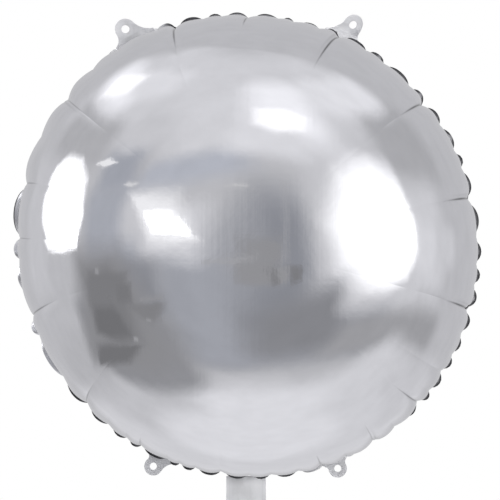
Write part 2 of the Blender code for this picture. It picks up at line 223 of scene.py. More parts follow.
# Broad soft patches of the room, each over those before it: azimuth and elevation, half width and height,
# soft edge each way, the grey that the foil shows it as, and how cool it is
ROOM = (
    (-18, 57, 84, 15, 32, 24, 204, 0.0),
    (5, 36, 18, 11, 20, 13, 206, 0.0),
    (60, 52, 20, 5, 20, 9, 224, 0.0),
    (78, 31.5, 17, 7.5, 18, 10, 169, 0.0),
    (-84, 32, 20, 4, 18, 8, 171, 0.0),
    (-43, 21, 5, 3, 12, 9, 160, 0.9),
    (-42, 4, 10, 8, 12, 8, 165, 0.8),
    (14, 43, 5, 8, 17, 15, 240, 0.0),
    (-92, 52, 15, 2, 23, 11, 243, 0.0),
    (-60, 58, 10, 3, 22, 10, 219, 0.0),
    (-112, 3, 8, 13, 14, 9, 191, 0.0),
    (180, 1, 3, 2, 11, 8, 232, 0.0),
    (-180, 1, 3, 2, 11, 8, 232, 0.0),
    (52, 2, 26, 10, 23, 14, 204, 0.0),
    (90, 0, 8, 2, 12, 7, 198, 0.0),
    (70, 0, 6, 3, 9, 8, 212, 0.0),
    (42, 19, 10, 3, 9, 9, 222, 0.0),
    (-14, 16, 10, 1, 9, 7, 177, 0.9),
    (16, -21, 24, 6, 18, 12, 146, 0.5),
    (61, -26, 31, 2, 16, 8, 154, 0.0),
    (-9, -16, 4, 12, 14, 10, 158, 0.7),
    (-15, 2, 5, 1, 9, 6, 210, 0.0),
    (-27, 7, 3, 2, 11, 8, 196, 0.0),
    (5, -4, 2, 6, 8, 13, 138, 0.8),
    (13, -18, 6, 4, 14, 10, 132, 0.3),
    (46, -12, 9, 1, 18, 9, 200, 0.0),
    (34, -12, 6, 1, 10, 7, 190, 0.0),
    (17, 5, 3, 3, 9, 8, 193, 0.0),
    (5, 24, 5, 2, 9, 7, 217, 0.0),
    (-46, -36, 22, 14, 15, 12, 141, 0.2),
    (-30, -10, 7, 4, 9, 6, 139, 0.6),
    (-37, 35, 5, 3, 12, 8, 197, 0.0),
    (-105, -40, 14, 6, 22, 14, 176, 0.0),
)
# The walls' own grey
ROOM_WALLS = 182

# The floor's far edge, seen from the balloon: azimuth and elevation, then how soft it is, and its own patches
FLOOR_EDGE = (
    (-180, -28), (-150, -28), (-130, -38), (-110, -44), (-90, -47), (-75, -46), (-60, -50.5), (-45, -52),
    (-30, -50), (-20, -47), (-10, -42.5), (0, -39.5), (10, -40.5), (22, -43), (35, -40.5), (50, -34),
    (62, -29.5), (75, -32.5), (100, -34), (120, -30), (150, -27), (180, -28),
)
FLOOR_EDGE_SOFT = 13
# The floor's soft patches, as the room's
FLOOR = (
    (3, -90, 23, 36, 36, 14, 216, 0.0),
    (-78, -90, 32, 42, 32, 14, 190, 0.0),
    (110, -40, 22, 4, 20, 8, 196, 0.0),
    (0, -90, 400, 20, 10, 14, 215, 0.0),
)
# The floor's own grey
ROOM_FLOOR = 203


def smooth(share):
    """Eases from 0 to 1, for a number or an array."""
    share = np.clip(share, 0.0, 1.0)
    return share * share * (3 - 2 * share)


def degrees_apart(first, second):
    """The angle between directions, from 0 to 180."""
    return np.abs((first - second + 180) % 360 - 180)


def calm(angle):
    """1 on the free rim, and 0 where an ear or the tail holds it flat."""
    held = [(ear[0], EAR_CALM_DEGREES) for ear in EARS.values()] + [(TAIL_ANGLE, TAIL_CALM_DEGREES)]
    free = [smooth((degrees_apart(angle, at) - reach * 0.7) / (reach * 0.6)) for at, reach in held]
    return np.min(free, axis=0)


def oval(angle):
    """The rim's radius at an angle, as a share of the round one."""
    return 1 + OVAL_SHARE * np.cos(2 * np.radians(angle - OVAL_DEGREES))


def within(angle, stretch, edge):
    """1 inside a stretch of the rim and 0 outside it, with edges that are that many degrees soft."""
    middle, half = (stretch[0] + stretch[1]) / 2, (stretch[1] - stretch[0]) / 2
    return smooth((half + edge / 2 - degrees_apart(angle, middle)) / edge)


def rim_share(angle):
    """The oval rim with its stretch that is drawn in a little, as a share of the round one."""
    return oval(angle) - DRAWN_IN_SHARE * within(angle, DRAWN_IN_RIM, DRAWN_IN_SOFT)


def make_puckers():
    """The puckers round the rim, each with its start and width, and the notch and wave at its start."""
    chance = random.Random(SEED)
    puckers = []
    for place, (angle, depth, reach) in enumerate(NOTCHES):
        after = NOTCHES[(place + 1) % len(NOTCHES)][0]
        side = 1 if place % 2 else -1
        free = float(calm(angle))
        puckers.append({
            "start": angle,
            "width": (after - angle) % 360,
            "share": depth,
            "reach": reach,
            "free": 0.35 + 0.65 * free,
            "wave": WAVE_HEIGHT * side * chance.uniform(0.6, 1.0) * free,
        })
    return puckers


PUCKERS = make_puckers()


def meridian():
    """The blown-up film from the seam to the middle: distance along it, radius, depth and slope, as arrays.

    The slope is the film's angle to the seam's plane, and its sine is the square of radius over seam radius.
    """
    slope = np.linspace(math.pi / 2, 0.002, 4000)
    middle = (slope[1:] + slope[:-1]) / 2
    run = SEAM_RADIUS * -np.diff(slope) / (2 * np.sqrt(np.sin(middle)))
    along = np.concatenate([[0], np.cumsum(run)])
    depth = np.concatenate([[0], np.cumsum(run * np.sin(middle))])
    return along, SEAM_RADIUS * np.sqrt(np.sin(slope)), depth, slope


MERIDIAN = meridian()


def film_at(along):
    """Radius, depth and slope of the smooth film at a distance from the seam."""
    return [float(np.interp(along, MERIDIAN[0], column)) for column in MERIDIAN[1:]]


class Columns:
    """The meridians that the rim's pieces are built on, crowded together beside each notch."""

    def __init__(self, side, settings):
        """Places the meridians for one panel; the back panel has its long creases at other notches."""
        self.settings = settings
        count = len(PUCKERS)
        start, width, share, reach, free, wave = (
            np.array([pucker[name] for pucker in PUCKERS])
            for name in ("start", "width", "share", "reach", "free", "wave")
        )
        length, lean, strength, double = self.long_creases(side)
        if side == BACK:
            share = np.where(length > 0, 0.9, np.minimum(share, 0.55))
            reach = np.where(length > 0, 0.034, 0.011)
        index, along = [], []
        for place in range(count):
            busy = length[place] > 0 or length[(place + 1) % count] > 0
            per_degree = settings.fine_steps if busy else settings.plain_steps
            steps = max(8, round(width[place] * per_degree))
            index += [place] * steps
            along += [(1 - math.cos(math.pi * step / steps)) / 2 for step in range(steps)]
        index = np.array(index)
        after = (index + 1) % count
        self.share = np.array(along)
        near = self.share < 0.5
        self.width = width[index]
        self.angle = start[index] + self.width * self.share
        self.calm = calm(self.angle)
        self.seam_radius = SEAM_RADIUS * rim_share(self.angle)
        ease = smooth(self.share)
        self.wave = (wave[index] * (1 - ease) + wave[after] * ease) * self.calm * settings.wave_share
        self.lean = lean[index] * (1 - self.share) + lean[after] * self.share
        self.deep = np.where(near, share[index], share[after])
        self.depth = settings.notch_depth * self.deep * np.where(near, free[index], free[after])
        self.reach = np.where(near, reach[index], reach[after])
        self.arch = np.sin(math.pi * self.share)
        overhang = 1 - 0.85 * within(self.angle, OPEN_RIM, 6)
        for first, last, less in PROUD_RIM:
            overhang = overhang * (1 - less * within(self.angle, (first, last), 16))
        self.plain = np.max([within(self.angle, stretch, 4) for stretch in PLAIN_RIM], axis=0)
        self.lobe = self.arch ** 0.85 * overhang
        self.cusp = 1 - self.arch ** 0.8
        self.sides = ((length[index], strength[index]), (length[after], strength[after]))
        self.double = double[index]
        self.swell = self.long_share(length, index)

    def long_creases(self, side):
        """Length, lean per metre, strength and second line of each notch's crease on a panel, as arrays."""
        count = len(PUCKERS)
        length, strength = np.zeros(count), np.zeros(count)
        double = np.zeros(count, bool)
        rows = FRONT_CREASES
        if side == BACK:
            chance = random.Random(SEED + 4)
            rows, place = [], 2
            while place < count:
                twin = chance.random() < 0.25
                reach = chance.uniform(0.055, 0.105)
                lean, force = chance.uniform(-2.2, 2.2), chance.uniform(0.5, 1)
                rows.append((PUCKERS[place]["start"], reach, lean, force, twin))
                place += chance.choice((2, 3, 3, 4))
        known, leans = [], []
        for angle, reach, lean, force, twin in rows:
            place = min(range(count), key=lambda pucker: degrees_apart(PUCKERS[pucker]["start"], angle))
            length[place], strength[place], double[place] = reach, force, twin
            known.append(place)
            leans.append(lean / reach)
        turns = known + [known[0] + count]
        places = np.arange(count) + (np.arange(count) < known[0]) * count
        return length, np.interp(places, turns, leans + leans[:1]), strength, double

    def long_share(self, length, index):
        """The swelling between one long crease and the next: 0 at a crease and 1 midway."""
        count = len(PUCKERS)
        marks = [place for place in range(count) if length[place] > 0.04]
        marks = np.array([marks[-1] - count] + marks + [marks[0] + count])
        place = index + self.share
        after = np.searchsorted(marks, place, side="right")
        return np.sin(math.pi * (place - marks[after - 1]) / (marks[after] - marks[after - 1]))

    def crease_lines(self, along, radius):
        """How far the crease lines press into the film, and their painted shade, from 0 to 1."""
        settings = self.settings
        arc = np.radians(self.width) * radius
        total = np.zeros(len(self.share))
        mark = np.zeros(len(self.share))
        for (length, strength), away in zip(self.sides, (arc * self.share, arc * (1 - self.share))):
            is_long = length > 0
            reach = np.where(is_long, length, settings.short_line)
            force = np.where(is_long, 0.15 + 0.85 * strength, 0.25)
            left = np.clip(1 - along / reach, 0, 1)
            spread = settings.crease_width * np.where(is_long, 0.35 + 0.65 * left, 0.5)
            total += settings.crease_depth * force * left ** 2.0 * np.exp(-away / spread)
            line = settings.line_width * (0.5 + 0.5 * left) * (0.6 + 0.6 * strength)
            mark += force * smooth(left * 2.5) * np.exp(-(away / line) ** 2)
        left = np.clip(1 - along / np.maximum(self.sides[0][0] * 0.85, 0.001), 0, 1)
        beside = np.abs(arc * self.share - settings.second_line)
        second = self.double * left ** 1.2 * smooth(along / 0.012)
        total += second * settings.crease_depth * 0.4 * np.exp(-beside / (settings.crease_width * 0.4))
        mark += second * 0.5 * np.exp(-(beside / settings.line_width) ** 2)
        return total, np.clip(mark, 0, 1)

    def skin(self, along, radius):
        """The film's height over the smooth shape at a distance from the seam, and the creases' painted
        shade.
        """
        settings = self.settings
        bump = along / settings.lobe_reach
        height = settings.lobe_height * self.lobe * bump * math.exp(1 - bump)
        height -= self.depth * self.cusp * np.exp(-along / (self.reach * 0.7 + 0.004))
        long_swell = settings.swell_height * math.exp(-((along - SWELL_AT) / SWELL_REACH) ** 2)
        height += long_swell * (self.swell - 0.5)
        pressed, mark = self.crease_lines(along, radius)
        return height - pressed, mark

    def widen(self, radius, along):
        """A radius of the round shape, taken to the oval one."""
        return radius * (1 + (rim_share(self.angle) - 1) * math.exp(-(along / OVAL_REACH) ** 2))

    def seam(self):
        """The seam's distance from the middle."""
        return self.seam_radius + self.skin(0.0, SEAM_RADIUS)[0]

    def outward(self, along=0.0):
        """The directions from the middle, turned as the creases lean."""
        turn = np.radians(self.angle + self.lean * min(along, 0.11))
        return np.cos(turn), np.sin(turn)


def row_distances(first, growth, widest):
    """Distances along the film from the seam to just short of the middle, in growing steps."""
    places, step = [0.0], first
    while places[-1] + step < MERIDIAN[0][-1] - 0.002:
        places.append(places[-1] + step)
        step = min(step * growth, widest)
    return places


def drift(x, z, height):
    """A slow, uneven swelling of the film, so that it isn't turned like a lathe's work."""
    total = np.zeros(len(x))
    chance = random.Random(SEED + 11)
    for wave in UNEVEN_WAVES:
        turn = chance.uniform(0, math.pi)
        phase = chance.uniform(0, 2 * math.pi)
        total += wave * np.sin((x * math.cos(turn) + z * math.sin(turn)) * 2 * math.pi / wave + phase)
    return total * height / UNEVEN_WAVES[0]


def mesh_object(name, points, faces, marks=None):
    """An object from points and faces, shaded smooth, with named float marks on its points."""
    data = bpy.data.meshes.new(name)
    data.from_pydata([tuple(point) for point in points], [], faces)
    for mark, values in (marks or {}).items():
        data.attributes.new(mark, "FLOAT", "POINT").data.foreach_set("value", np.asarray(values, np.float32))
    data.validate()
    data.shade_smooth()
    made = bpy.data.objects.new(name, data)
    bpy.context.scene.collection.objects.link(made)
    return made


def ring_faces(rows, count, flip):
    """The quads between closed rings of points, each ring with that many points."""
    faces = []
    for row in range(rows - 1):
        for column in range(count):
            beside = (column + 1) % count
            here, there = row * count, (row + 1) * count
            quad = (here + column, here + beside, there + beside, there + column)
            faces.append(quad[::-1] if flip else quad)
    return faces


def grid_faces(rows, columns):
    """The quads between the rows of points of a sheet."""
    return [
        (row * columns + c, row * columns + c + 1, (row + 1) * columns + c + 1, (row + 1) * columns + c)
        for row in range(rows - 1) for c in range(columns - 1)
    ]


def apply_modifiers(piece):
    """Bakes the piece's modifiers into its mesh."""
    graph = bpy.context.evaluated_depsgraph_get()
    baked = bpy.data.meshes.new_from_object(piece.evaluated_get(graph))
    piece.modifiers.clear()
    old = piece.data
    piece.data = baked
    bpy.data.meshes.remove(old)


def thicken(piece, thickness):
    """Gives a sheet of film its thickness, evenly to both sides, with a crisp cut edge."""
    shell = piece.modifiers.new("Film", "SOLIDIFY")
    shell.thickness = thickness
    shell.offset = 0
    apply_modifiers(piece)
    piece.data.set_sharp_from_angle(angle=CUT_EDGE)


def dress(piece, material, slot, *nodes, mirrored=True):
    """Gives a piece its material, lets it ride on the balloon and stand for its solids; its slot is not used.

    The real film is too crumpled beside the seam to mirror the ears and the tail, so they aren't mirrored.
    """
    piece.visible_glossy = mirrored
    piece.data.materials.clear()
    piece.data.materials.append(material)
    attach(piece, "root")
    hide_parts(*nodes)


class BalloonFilmSettings(PropertyGroup):
    """The film's puckers and creases."""

    notch_depth: FloatProperty(
        name="Notch depth", description="Depth of the deepest notch of the seam",
        default=0.0055, unit="LENGTH")
    wave_share: FloatProperty(
        name="Seam wave", description="Fore and aft wave of the seam, as a share of the solids'",
        default=1.1)
    lobe_height: FloatProperty(
        name="Lobe height", description="How far a pucker swells",
        default=0.0023, unit="LENGTH")
    lobe_reach: FloatProperty(
        name="Lobe reach", description="Where a pucker swells most, from the seam",
        default=0.009, unit="LENGTH")
    swell_height: FloatProperty(
        name="Swelling", description="How far the film swells between long creases",
        default=0.0005, unit="LENGTH")
    crease_depth: FloatProperty(
        name="Crease depth", description="Depth of a long crease at the seam",
        default=0.0032, unit="LENGTH")
    crease_width: FloatProperty(
        name="Crease width", description="Width of a crease's flank at the seam",
        default=0.0026, unit="LENGTH")
    # The dark line in a crease is painted shade
    line_width: FloatProperty(
        name="Crease line", description="Width of the dark line in a crease",
        default=0.0011, unit="LENGTH")
    second_line: FloatProperty(
        name="Second line", description="How far a second line runs from the first",
        default=0.0034, unit="LENGTH")
    short_line: FloatProperty(
        name="Short crease", description="Length of a short crease's line",
        default=0.018, unit="LENGTH")
    drift_height: FloatProperty(
        name="Unevenness", description="Height of the film's slow unevenness",
        default=0.00003, unit="LENGTH")
    fine_steps: FloatProperty(
        name="Fine steps", description="Meridians to a degree beside a long crease",
        default=3.2)
    plain_steps: FloatProperty(
        name="Plain steps", description="Meridians to a degree elsewhere",
        default=1.8)
    film_gap: FloatProperty(
        name="Seat", description="Half the weld's thickness, where the film leaves it",
        default=0.00016, unit="LENGTH")


class BalloonFinishSettings(PropertyGroup):
    """Colours and gloss of the film."""

    foil_colour: FloatVectorProperty(
        name="Foil", description="Colour of the metallised film", subtype="COLOR",
        default=(0.80, 0.80, 0.83))
    weld_colour: FloatVectorProperty(
        name="Weld", description="Colour of the welded rim", subtype="COLOR",
        default=(0.66, 0.66, 0.69))
    ear_colour: FloatVectorProperty(
        name="Ears", description="Colour of the ears", subtype="COLOR",
        default=(0.72, 0.72, 0.735))
    tail_colour: FloatVectorProperty(
        name="Tail", description="Colour of the tail's film", subtype="COLOR",
        default=(0.84, 0.84, 0.85))
    valve_colour: FloatVectorProperty(
        name="Valve", description="Colour of the valve's film", subtype="COLOR",
        default=(0.84, 0.86, 0.88))


class BalloonStudioSettings(PropertyGroup):
    """The floor, lights and camera."""

    camera_distance: FloatProperty(
        name="Camera distance", description="From the seam's plane",
        default=2.204, unit="LENGTH")
    lens: FloatProperty(name="Lens", description="Focal length in millimetres", default=165.0)
    floor_depth: FloatProperty(
        name="Floor depth", description="How far the floor lies below the middle",
        default=1.0, unit="LENGTH")
    floor_radius: FloatProperty(
        name="Floor radius", description="Radius of the pale round floor",
        default=0.9, unit="LENGTH")
    light_distance: FloatProperty(
        name="Light distance", description="How far the soft lights stand",
        default=3.0, unit="LENGTH")
    key_strength: FloatProperty(
        name="Key strength", description="Brightness of the two large soft boxes",
        default=5.0)


def new_material(name, roughness, metallic=1.0):
    """A node material and its shader."""
    material = bpy.data.materials.new(name)
    material.use_nodes = True
    shader = material.node_tree.nodes["Principled BSDF"]
    shader.inputs["Metallic"].default_value = metallic
    shader.inputs["Roughness"].default_value = roughness
    return material, shader


def add_node(tree, kind, **values):
    """A node of that kind, with its named properties set, and its named inputs set or linked to sockets."""
    node = tree.nodes.new(kind)
    for name, value in values.items():
        if hasattr(node, name):
            setattr(node, name, value)
        elif isinstance(value, bpy.types.NodeSocket):
            tree.links.new(value, node.inputs[name.replace("_", " ")])
        else:
            node.inputs[name.replace("_", " ")].default_value = value
    return node


def math_node(tree, operation, first, second=None, clamp=False):
    """A maths node on two values or sockets, and its output."""
    node = add_node(tree, "ShaderNodeMath", operation=operation, use_clamp=clamp)
    for place, value in enumerate((first, second)):
        if value is None:
            continue
        if isinstance(value, (int, float)):
            node.inputs[place].default_value = value
        else:
            tree.links.new(value, node.inputs[place])
    return node.outputs[0]


def add_share(tree, base, value, share):
    """A base, a value or a socket, and a share of a socket's value added to it, and their output."""
    return math_node(tree, "ADD", math_node(tree, "MULTIPLY", value, share), base)


def mark_value(tree, mark):
    """The mark on the mesh's points with that name, as an output."""
    return add_node(tree, "ShaderNodeAttribute", attribute_name=mark).outputs["Fac"]


def shaded(colour, share):
    """A colour darkened to a share, or lightened to no more than white."""
    return tuple(min(1.0, part * share) for part in colour)


def ramp_node(tree, value, low, high, to_low=0.0, to_high=1.0):
    """A smooth step of a value from one range to another, and its output."""
    node = add_node(
        tree, "ShaderNodeMapRange", interpolation_type="SMOOTHSTEP", Value=value,
        From_Min=low, From_Max=high, To_Min=to_low, To_Max=to_high,
    )
    return node.outputs["Result"]


def mix_colours(tree, factor, first, second):
    """A mix of two colours, each a value or a socket, and its output."""
    node = add_node(tree, "ShaderNodeMix", data_type="RGBA")
    for place, value in zip(MIX_INPUTS, (factor, first, second)):
        if isinstance(value, (int, float)):
            node.inputs[place].default_value = value
        elif isinstance(value, (tuple, list)):
            node.inputs[place].default_value = (*value[:3], 1.0)
        else:
            tree.links.new(value, node.inputs[place])
    return node.outputs[MIX_OUTPUT]


def new_group(name, inputs, outputs):
    """A shader group with those float sockets, and its input and output nodes."""
    group = bpy.data.node_groups.new(name, "ShaderNodeTree")
    for socket, default in inputs:
        made = group.interface.new_socket(socket, in_out="INPUT", socket_type="NodeSocketFloat")
        made.default_value = default
    for socket in outputs:
        group.interface.new_socket(socket, in_out="OUTPUT", socket_type="NodeSocketFloat")
    return group, group.nodes.new("NodeGroupInput"), group.nodes.new("NodeGroupOutput")


def film_grain_group():
    """Fine texture of rolled film: streaks along its length, shallow dimples, and soft patches of haze."""
    name = "Film grain"
    if name in bpy.data.node_groups:
        return bpy.data.node_groups[name]
    inputs = (("Streaks", 1.0), ("Dimples", 1.0), ("Haze size", 9.0))
    group, inside, outside = new_group(name, inputs, ("Height", "Haze", "Rub"))
    place = group.nodes.new("ShaderNodeTexCoord").outputs["Object"]

    def noise(scale, detail, stretch):
        """Noise on the object's own place, stretched along each axis."""
        mapping = add_node(group, "ShaderNodeMapping", Vector=place, Scale=stretch)
        spot = mapping.outputs["Vector"]
        return add_node(group, "ShaderNodeTexNoise", Vector=spot, Scale=scale, Detail=detail).outputs["Fac"]

    fine = noise(1.0, 2.0, (420.0, 12.0, 5.0))
    broad = noise(1.0, 2.0, (95.0, 12.0, 2.5))
    cross = noise(1.0, 1.0, (4.0, 10.0, 240.0))
    streaks = add_share(group, math_node(group, "MULTIPLY", fine, 0.35), broad, 1.6)
    streaks = add_share(group, streaks, cross, 0.25)
    dimples = noise(170.0, 2.0, (1.0, 1.0, 1.0))
    slow = noise(28.0, 2.0, (1.0, 1.0, 1.0))
    shallow = add_share(group, dimples, slow, 5.0)
    height = math_node(
        group, "ADD",
        math_node(group, "MULTIPLY", streaks, inside.outputs["Streaks"]),
        math_node(group, "MULTIPLY", shallow, inside.outputs["Dimples"]),
    )
    patches = noise(inside.outputs["Haze size"], 5.0, (1.0, 1.0, 0.6))
    haze = ramp_node(group, patches, 0.42, 0.72)
    scuffs = ramp_node(group, noise(1.0, 3.0, (260.0, 60.0, 18.0)), 0.60, 0.78)
    group.links.new(height, outside.inputs["Height"])
    group.links.new(haze, outside.inputs["Haze"])
    group.links.new(math_node(group, "MULTIPLY", scuffs, patches), outside.inputs["Rub"])
    return group


def seam_shade_group():
    """Painted shade in the valley beside the weld and in the panels' creases, and the ears' and tail's thin
    dark lines.
    """
    name = "Seam shade"
    if name in bpy.data.node_groups:
        return bpy.data.node_groups[name]
    group, inside, outside = new_group(name, (("Valley", 0.5), ("Crease", 0.5)), ("Shade",))
    parts = [
        math_node(group, "MULTIPLY", mark_value(group, mark), inside.outputs[strength])
        for mark, strength in (("from_seam", "Valley"), ("crease", "Crease"))
    ]
    group.links.new(math_node(group, "ADD", *parts, clamp=True), outside.inputs["Shade"])
    return group


def place_group(tree, group, **values):
    """A shader group in a material, with its inputs set."""
    node = tree.nodes.new("ShaderNodeGroup")
    node.node_tree = group
    for name, value in values.items():
        node.inputs[name.replace("_", " ").capitalize()].default_value = value
    return node


class FilmMaterial:
    """A film's material, put together in steps: grain, haze, painted shade at the seam and in the creases,
    and roughness.
    """

    def __init__(self, name, roughness, hazier, metallic=1.0, **grain):
        """Starts with the clean film's roughness, what full haze adds to it, and the grain's inputs."""
        self.material, self.shader = new_material(name, roughness, metallic)
        self.tree = self.material.node_tree
        self.grain = place_group(self.tree, film_grain_group(), **grain)
        self.haze = self.grain.outputs["Haze"]
        self.rough = add_share(self.tree, roughness, self.haze, hazier)

    def hazed(self, colour, share):
        """The colour, at a share of itself in full haze."""
        return mix_colours(self.tree, self.haze, colour, shaded(colour, share))

    def darkened(self, colour, dark, valley, crease):
        """A colour socket, darkened by those strengths in the valley beside the weld and in the creases, as
        painted shade.
        """
        shade = place_group(self.tree, seam_shade_group(), valley=valley, crease=crease)
        return mix_colours(self.tree, shade.outputs["Shade"], colour, dark)

    def roughen(self, value, share):
        """Adds a share of a socket's value to the roughness."""
        self.rough = add_share(self.tree, self.rough, value, share)

    def done(self, colour, bump):
        """Links the colour, the roughness and a bump of that depth, and gives the material."""
        self.tree.links.new(colour, self.shader.inputs["Base Color"])
        self.tree.links.new(self.rough, self.shader.inputs["Roughness"])
        height = self.grain.outputs["Height"]
        node = add_node(self.tree, "ShaderNodeBump", Distance=bump, Strength=1.0, Height=height)
        self.tree.links.new(node.outputs["Normal"], self.shader.inputs["Normal"])
        return self.material


def panel_foil(finish):
    """Bright metallised film: near mirror, with streaks, dimples and haze, rougher at the rim, and painted
    shade beside the weld and in the creases.
    """
    film = FilmMaterial("panel_foil", 0.05, 0.03, streaks=1.3, dimples=1.0, haze_size=9.0)
    film.roughen(film.grain.outputs["Rub"], 0.05)
    film.roughen(mark_value(film.tree, "near_rim"), 0.22)
    colour = tuple(finish.foil_colour)
    # Painted shade: the foil darkens towards a tenth of its colour in the valley beside the weld and down in
    # the creases
    return film.done(film.darkened(film.hazed(colour, 0.965), shaded(colour, 0.10), 0.55, 1.0), 0.00002)


def weld_foil(finish):
    """The welded rim: two films pressed flat, with painted shade that darkens it towards the trimmed edge,
    and all over where it lies back.
    """
    film = FilmMaterial("weld_foil", 0.34, 0.10, streaks=0.3, dimples=0.5, haze_size=14.0)
    tree, colour, dark = film.tree, tuple(finish.weld_colour), (0.065, 0.065, 0.07)
    trim, weld_shade, plain = [mark_value(tree, mark) for mark in ("trim", "weld_shade", "plain")]
    film.roughen(weld_shade, -0.02)
    # Painted shade: the weld darkens to a quarter where it lies back behind the puckers, and towards black at
    # its trimmed edge; where an ear holds it flat it keeps the ears' colour
    lying_back = mix_colours(tree, ramp_node(tree, trim, 0.0, 0.75), shaded(colour, 0.25), dark)
    standing = mix_colours(tree, ramp_node(tree, trim, 0.62, 0.82), film.hazed(colour, 1.3), dark)
    whole = mix_colours(tree, weld_shade, standing, lying_back)
    whole = mix_colours(tree, plain, whole, tuple(finish.ear_colour))
    return film.done(film.darkened(whole, dark, 0.35, 0.3), 0.00001)


def satin_foil(name, colour, roughness, seam_line):
    """Flat double film, satin, for the ears and the tail, with painted shade where it leaves the rim, and
    thin dark lines round the ears' holes and along the tail's side welds.
    """
    film = FilmMaterial(name, roughness, 0.1, streaks=0.6, dimples=0.7, haze_size=60.0)
    return film.done(film.darkened(film.hazed(colour, 0.86), shaded(colour, 0.2), 0.22, seam_line), 0.00002)


def valve_plastic(finish):
    """Milky valve film, with soft creases."""
    film = FilmMaterial("valve_plastic", 0.28, 0.2, 0.0, streaks=2.0, dimples=2.0, haze_size=80.0)
    return film.done(film.hazed(tuple(finish.valve_colour), 0.88), 0.00003)


def build_panel(name, side, settings):
    """One panel of film, from the seam to its middle."""
    columns = Columns(side, settings)
    count = len(columns.share)
    rows = row_distances(*ROW_STEPS)
    points, marks = [], {"from_seam": [], "near_rim": [], "crease": []}
    for along in rows:
        radius, depth, slope = film_at(along)
        height, mark = columns.skin(along, radius)
        across, up = columns.outward(along)
        level = settings.film_gap + depth + height * math.cos(slope)
        far = columns.widen(radius, along) + height * math.sin(slope)
        x, z = across * far, up * far
        level = level + drift(x * side, z, settings.drift_height) * smooth(along / UNEVEN_FROM)
        y = side * level + columns.wave * math.exp(-along / WAVE_REACH)
        points.append(np.stack([x, y, z], axis=1))
        # Marks for painted shade in the valley beside the weld and in the creases; near_rim only roughens the
        # film
        marks["from_seam"].append(np.full(count, math.exp(-along / VALLEY_REACH)))
        marks["near_rim"].append(np.full(count, math.exp(-along / CRUMPLED_REACH)))
        marks["crease"].append(mark)
    middle = points[-1].mean(axis=0) + Vector((0, side * 0.0001, 0))
    points = np.concatenate(points + [[middle]])
    faces = ring_faces(len(rows), count, side == FRONT)
    pole, last = len(points) - 1, (len(rows) - 1) * count
    for column in range(count):
        corner = (last + column, last + (column + 1) % count, pole)
        faces.append(corner[::-1] if side == FRONT else corner)
    return mesh_object(name, points, faces, {
        mark: np.concatenate(values + [[0]]) for mark, values in marks.items()
    })


def build_weld(settings):
    """The welded rim: a ribbon along the seam that stands out in the puckers and folds back at notches."""
    columns = Columns(FRONT, settings)
    count = len(columns.share)
    seam = columns.seam()
    across, up = columns.outward()
    angle, turn = columns.angle, np.radians(columns.angle)
    folded = np.max([within(angle, stretch, 5) for stretch in FOLDED_BACK], axis=0)
    bright = within(angle, OPEN_RIM, 5)
    plain, thin, narrow = columns.plain, within(angle, THIN_RIM, 8), within(angle, NARROW_RIM, 6)
    stand = columns.arch ** np.where(bright > 0.5, 0.5, 1.1 - 0.6 * columns.deep)
    stand = 1 - (1 - stand) * (1 - 0.8 * plain)
    lay = 0.30 + 0.14 * np.sin(2 * turn + 2.6) + 0.12 * np.sin(5 * turn + 1.0) + 0.08 * np.sin(11 * turn)
    lay = (lay + 0.3 * thin) * (1 - plain) * (1 - 0.8 * bright)
    lay = lay * (1 - folded) + 1.35 * folded
    tilt = lay + (1.45 - lay) * (1 - stand)
    width = WELD_WIDTH * (1.04 + 0.06 * np.sin(5 * turn + 0.4) + 0.04 * np.sin(17 * turn))
    width = width * (1 - 0.35 * narrow) * (1 - 0.5 * plain)
    for first, last, less in SHORT_RIM:
        width = width * (1 - less * within(angle, (first, last), 6))
    half = settings.film_gap
    section = [(place, -1) for place in WELD_PLACES] + [(place, 1) for place in reversed(WELD_PLACES)]
    points, marks = [], {"from_seam": [], "trim": [], "weld_shade": [], "plain": []}
    for place, face in section:
        out = width if place == WELD_PLACES[-1] else np.full(count, place)
        ahead = np.maximum(out, 0)
        curl = tilt * (0.75 + 0.5 * ahead / WELD_WIDTH)
        far = seam + np.minimum(out, 0) + ahead * np.cos(curl) - face * half * np.sin(curl)
        level = columns.wave + ahead * np.sin(curl) + face * half * np.cos(curl)
        points.append(np.stack([across * far, level, up * far], axis=1))
        # Marks for painted shade: the valley beside the seam, the band towards the trimmed edge, and the
        # stretches where the weld lies back
        trim = np.clip(1 - (width - ahead) / WELD_EDGE_SHADE, 0, 1)
        marks["from_seam"].append(np.exp(-ahead / VALLEY_REACH))
        marks["trim"].append(trim * (1 - plain) * (1 - 0.45 * narrow))
        marks["weld_shade"].append((1 - bright) * (1 - 0.5 * thin) * (1 - plain))
        marks["plain"].append(plain)
    faces = ring_faces(len(section), count, True)
    last = (len(section) - 1) * count
    for column in range(count):
        beside = (column + 1) % count
        faces.append((column, last + column, last + beside, beside))
    marks = {mark: np.concatenate(values) for mark, values in marks.items()}
    ribbon = mesh_object("weld_ribbon", np.concatenate(points), faces, marks)
    ribbon.data.set_sharp_from_angle(angle=CUT_EDGE)
    return ribbon


def arc(centre, radius, start, end, steps):
    """Points on an arc, angles in radians."""
    turns = [start + (end - start) * step / steps for step in range(steps + 1)]
    return [(centre[0] + radius * math.cos(turn), centre[1] + radius * math.sin(turn)) for turn in turns]


def ear_flank(edge, hole_at, head, flank):
    """The hollow flank on an ear's clockwise side, from rim to head, and where on the head it ends."""
    far = edge + flank
    spread = math.acos((far ** 2 + hole_at ** 2 - (head + flank) ** 2) / (2 * far * hole_at))
    centre = (far * math.sin(spread), far * math.cos(spread))
    rise = math.atan2(centre[1] - hole_at, centre[0])
    trim = math.acos(1 - EAR_CORNER / flank)
    return arc(centre, flank, -math.pi / 2 - spread - trim, rise - math.pi, 14), rise


